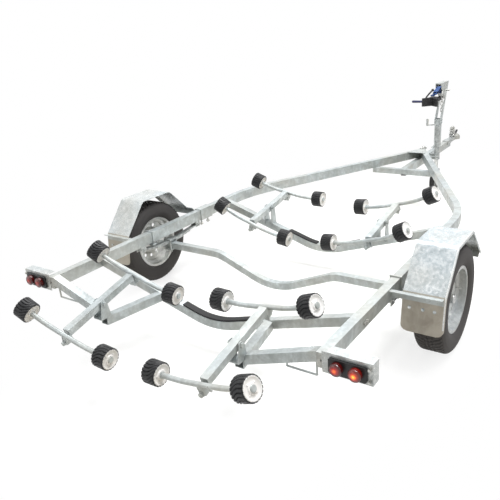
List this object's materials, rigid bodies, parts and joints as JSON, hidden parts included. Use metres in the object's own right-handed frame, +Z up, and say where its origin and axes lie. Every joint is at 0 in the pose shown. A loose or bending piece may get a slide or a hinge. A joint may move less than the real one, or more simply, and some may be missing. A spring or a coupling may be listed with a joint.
{
  "type": "boat trailer",
  "caption": "Single-axle galvanised boat trailer with rocking keel-roller cradles, winch post, ball coupling and jockey wheel.",
  "frame": {"origin": "on the floor, in the middle of the trailer's overall box", "axes": "+X forward to the coupling, +Y to the trailer's left, +Z up"},
  "size_m": [5.56, 2.44, 1.075],
  "materials": {
    "galvanised_steel": "satin",
    "black_rubber": "matte",
    "tyre_rubber": "matte",
    "jockey_rubber": "matte",
    "lamp_red": "gloss",
    "winch_steel": "satin",
    "chain_steel": "satin"
  },
  "bodies": {
    "frame": {"left_side_rail": "galvanised_steel", "right_side_rail": "galvanised_steel", "left_front_rail": "galvanised_steel", "right_front_rail": "galvanised_steel", "drawbar": "galvanised_steel", "rear_crossmember": "galvanised_steel", "front_crossmember": "galvanised_steel", "keel_pads": "black_rubber", "rear_outriggers": "galvanised_steel", "rocker_brackets": "galvanised_steel", "axle": "galvanised_steel", "mudguard_brackets": "galvanised_steel", "light_brackets": "galvanised_steel", "tail_lamps": "lamp_red", "left_leaf_spring": "galvanised_steel", "right_leaf_spring": "galvanised_steel", "left_mudguard": "galvanised_steel", "right_mudguard": "galvanised_steel", "coupling": "galvanised_steel", "safety_chain": "chain_steel", "winch_post": "galvanised_steel", "winch": "winch_steel", "bow_stop": "black_rubber", "jockey_clamp": "galvanised_steel", "jockey_tube": "galvanised_steel"},
    "left_wheel": {"left_rim": "galvanised_steel", "left_tyre": "tyre_rubber"},
    "right_wheel": {"right_rim": "galvanised_steel", "right_tyre": "tyre_rubber"},
    "left_rear_rocker": {"left_rear_rocker": "galvanised_steel"},
    "left_rear_aft_bar": {"left_rear_aft_bar": "galvanised_steel"},
    "left_rear_aft_inner_roller": {"left_rear_aft_inner_roller": "black_rubber"},
    "left_rear_aft_outer_roller": {"left_rear_aft_outer_roller": "black_rubber"},
    "left_rear_fore_bar": {"left_rear_fore_bar": "galvanised_steel"},
    "left_rear_fore_inner_roller": {"left_rear_fore_inner_roller": "black_rubber"},
    "left_rear_fore_outer_roller": {"left_rear_fore_outer_roller": "black_rubber"},
    "left_front_rocker": {"left_front_rocker": "galvanised_steel"},
    "left_front_aft_bar": {"left_front_aft_bar": "galvanised_steel"},
    "left_front_aft_inner_roller": {"left_front_aft_inner_roller": "black_rubber"},
    "left_front_aft_outer_roller": {"left_front_aft_outer_roller": "black_rubber"},
    "left_front_fore_bar": {"left_front_fore_bar": "galvanised_steel"},
    "left_front_fore_inner_roller": {"left_front_fore_inner_roller": "black_rubber"},
    "left_front_fore_outer_roller": {"left_front_fore_outer_roller": "black_rubber"},
    "right_rear_rocker": {"right_rear_rocker": "galvanised_steel"},
    "right_rear_aft_bar": {"right_rear_aft_bar": "galvanised_steel"},
    "right_rear_aft_inner_roller": {"right_rear_aft_inner_roller": "black_rubber"},
    "right_rear_aft_outer_roller": {"right_rear_aft_outer_roller": "black_rubber"},
    "right_rear_fore_bar": {"right_rear_fore_bar": "galvanised_steel"},
    "right_rear_fore_inner_roller": {"right_rear_fore_inner_roller": "black_rubber"},
    "right_rear_fore_outer_roller": {"right_rear_fore_outer_roller": "black_rubber"},
    "right_front_rocker": {"right_front_rocker": "galvanised_steel"},
    "right_front_aft_bar": {"right_front_aft_bar": "galvanised_steel"},
    "right_front_aft_inner_roller": {"right_front_aft_inner_roller": "black_rubber"},
    "right_front_aft_outer_roller": {"right_front_aft_outer_roller": "black_rubber"},
    "right_front_fore_bar": {"right_front_fore_bar": "galvanised_steel"},
    "right_front_fore_inner_roller": {"right_front_fore_inner_roller": "black_rubber"},
    "right_front_fore_outer_roller": {"right_front_fore_outer_roller": "black_rubber"},
    "jockey_leg": {"jockey_leg": "galvanised_steel"},
    "jockey_caster": {"jockey_fork": "galvanised_steel"},
    "jockey_wheel": {"jockey_wheel": "jockey_rubber"}
  },
  "joints": [
    {"name": "left_wheel_spin", "type": "hinge", "parent": "frame", "child": "left_wheel", "pos_m": [-1.35431, 1.1225, 0.305], "axis": [0, 1, 0], "continuous": true},
    {"name": "right_wheel_spin", "type": "hinge", "parent": "frame", "child": "right_wheel", "pos_m": [-1.35431, -1.1225, 0.305], "axis": [0, 1, 0], "continuous": true},
    {"name": "left_rear_rocker_pitch", "type": "hinge", "parent": "frame", "child": "left_rear_rocker", "pos_m": [-2.42231, 0.472, 0.4], "axis": [0, 1, 0], "range_deg": [-10, 15]},
    {"name": "left_rear_aft_bar_roll", "type": "hinge", "parent": "left_rear_rocker", "child": "left_rear_aft_bar", "pos_m": [-2.67995, 0.472, 0.29248], "axis": [0.9703, 0, 0.2419], "range_deg": [-12, 12]},
    {"name": "left_rear_aft_inner_roller_spin", "type": "hinge", "parent": "left_rear_aft_bar", "child": "left_rear_aft_inner_roller", "pos_m": [-2.67535, 0.18231, 0.27402], "axis": [-0.0232, 0.9954, 0.093], "continuous": true},
    {"name": "left_rear_aft_outer_roller_spin", "type": "hinge", "parent": "left_rear_aft_bar", "child": "left_rear_aft_outer_roller", "pos_m": [-2.71638, 0.72021, 0.43858], "axis": [-0.1191, 0.8704, 0.4778], "continuous": true},
    {"name": "left_rear_fore_bar_roll", "type": "hinge", "parent": "left_rear_rocker", "child": "left_rear_fore_bar", "pos_m": [-2.14435, 0.472, 0.42602], "axis": [0.9703, 0, 0.2419], "range_deg": [-12, 12]},
    {"name": "left_rear_fore_inner_roller_spin", "type": "hinge", "parent": "left_rear_fore_bar", "child": "left_rear_fore_inner_roller", "pos_m": [-2.13608, 0.18371, 0.39287], "axis": [-0.0358, 0.989, 0.1434], "continuous": true},
    {"name": "left_rear_fore_outer_roller_spin", "type": "hinge", "parent": "left_rear_fore_bar", "child": "left_rear_fore_outer_roller", "pos_m": [-2.18387, 0.71199, 0.58452], "axis": [-0.13, 0.8434, 0.5213], "continuous": true},
    {"name": "left_front_rocker_pitch", "type": "hinge", "parent": "frame", "child": "left_front_rocker", "pos_m": [-0.65531, 0.472, 0.438], "axis": [0, 1, 0], "range_deg": [-10, 15]},
    {"name": "left_front_aft_bar_roll", "type": "hinge", "parent": "left_front_rocker", "child": "left_front_aft_bar", "pos_m": [-0.91982, 0.472, 0.34871], "axis": [0.9848, 0, 0.1736], "range_deg": [-12, 12]},
    {"name": "left_front_aft_inner_roller_spin", "type": "hinge", "parent": "left_front_aft_bar", "child": "left_front_aft_inner_roller", "pos_m": [-0.91345, 0.18402, 0.31259], "axis": [-0.0272, 0.9877, 0.1541], "continuous": true},
    {"name": "left_front_aft_outer_roller_spin", "type": "hinge", "parent": "left_front_aft_bar", "child": "left_front_aft_outer_roller", "pos_m": [-0.94855, 0.71056, 0.51164], "axis": [-0.0946, 0.8387, 0.5364], "continuous": true},
    {"name": "left_front_fore_bar_roll", "type": "hinge", "parent": "left_front_rocker", "child": "left_front_fore_bar", "pos_m": [-0.37621, 0.472, 0.44456], "axis": [0.9848, 0, 0.1736], "range_deg": [-12, 12]},
    {"name": "left_front_fore_inner_roller_spin", "type": "hinge", "parent": "left_front_fore_bar", "child": "left_front_fore_inner_roller", "pos_m": [-0.37862, 0.18202, 0.45824], "axis": [0.003, 0.9998, -0.0172], "continuous": true},
    {"name": "left_front_fore_outer_roller_spin", "type": "hinge", "parent": "left_front_fore_bar", "child": "left_front_fore_outer_roller", "pos_m": [-0.39731, 0.73566, 0.56422], "axis": [-0.0678, 0.9205, 0.3848], "continuous": true},
    {"name": "right_rear_rocker_pitch", "type": "hinge", "parent": "frame", "child": "right_rear_rocker", "pos_m": [-2.42231, -0.472, 0.4], "axis": [0, 1, 0], "range_deg": [-10, 15]},
    {"name": "right_rear_aft_bar_roll", "type": "hinge", "parent": "right_rear_rocker", "child": "right_rear_aft_bar", "pos_m": [-2.67995, -0.472, 0.29248], "axis": [0.9703, 0, 0.2419], "range_deg": [-12, 12]},
    {"name": "right_rear_aft_inner_roller_spin", "type": "hinge", "parent": "right_rear_aft_bar", "child": "right_rear_aft_inner_roller", "pos_m": [-2.68209, -0.18182, 0.30104], "axis": [0, 1, 0], "continuous": true},
    {"name": "right_rear_aft_outer_roller_spin", "type": "hinge", "parent": "right_rear_aft_bar", "child": "right_rear_aft_outer_roller", "pos_m": [-2.71045, -0.7335, 0.41482], "axis": [0.0984, 0.9135, -0.3947], "continuous": true},
    {"name": "right_rear_fore_bar_roll", "type": "hinge", "parent": "right_rear_rocker", "child": "right_rear_fore_bar", "pos_m": [-2.14435, -0.472, 0.42602], "axis": [0.9703, 0, 0.2419], "range_deg": [-12, 12]},
    {"name": "right_rear_fore_inner_roller_spin", "type": "hinge", "parent": "right_rear_fore_bar", "child": "right_rear_fore_inner_roller", "pos_m": [-2.14832, -0.18215, 0.44195], "axis": [-0.0063, 0.9997, 0.0254], "continuous": true},
    {"name": "right_rear_fore_outer_roller_spin", "type": "hinge", "parent": "right_rear_fore_bar", "child": "right_rear_fore_outer_roller", "pos_m": [-2.17318, -0.73671, 0.54168], "axis": [0.0926, 0.9239, -0.3713], "continuous": true},
    {"name": "right_front_rocker_pitch", "type": "hinge", "parent": "frame", "child": "right_front_rocker", "pos_m": [-0.65531, -0.472, 0.438], "axis": [0, 1, 0], "range_deg": [-10, 15]},
    {"name": "right_front_aft_bar_roll", "type": "hinge", "parent": "right_front_rocker", "child": "right_front_aft_bar", "pos_m": [-0.91982, -0.472, 0.34871], "axis": [0.9848, 0, 0.1736], "range_deg": [-12, 12]},
    {"name": "right_front_aft_inner_roller_spin", "type": "hinge", "parent": "right_front_aft_bar", "child": "right_front_aft_inner_roller", "pos_m": [-0.91696, -0.18216, 0.33247], "axis": [0.0151, 0.9962, -0.0858], "continuous": true},
    {"name": "right_front_aft_outer_roller_spin", "type": "hinge", "parent": "right_front_aft_bar", "child": "right_front_aft_outer_roller", "pos_m": [-0.94559, -0.72151, 0.49486], "axis": [0.0842, 0.8746, -0.4774], "continuous": true},
    {"name": "right_front_fore_bar_roll", "type": "hinge", "parent": "right_front_rocker", "child": "right_front_fore_bar", "pos_m": [-0.37621, -0.472, 0.44456], "axis": [0.9848, 0, 0.1736], "range_deg": [-12, 12]},
    {"name": "right_front_fore_inner_roller_spin", "type": "hinge", "parent": "right_front_fore_bar", "child": "right_front_fore_inner_roller", "pos_m": [-0.37422, -0.18191, 0.4333], "axis": [0.0121, 0.9976, -0.0687], "continuous": true},
    {"name": "right_front_fore_outer_roller_spin", "type": "hinge", "parent": "right_front_fore_bar", "child": "right_front_fore_outer_roller", "pos_m": [-0.40122, -0.72407, 0.5864], "axis": [0.0815, 0.8829, -0.4623], "continuous": true},
    {"name": "jockey_height", "type": "slide", "parent": "frame", "child": "jockey_leg", "axis": [0, 0, 1], "range_m": [-0.12, 0.08]},
    {"name": "jockey_swivel", "type": "hinge", "parent": "jockey_leg", "child": "jockey_caster", "pos_m": [1.73969, -0.088, 0.2], "axis": [0, 0, 1], "continuous": true},
    {"name": "jockey_wheel_spin", "type": "hinge", "parent": "jockey_caster", "child": "jockey_wheel", "pos_m": [1.69969, -0.088, 0.1], "axis": [0, 1, 0], "continuous": true}
  ]
}
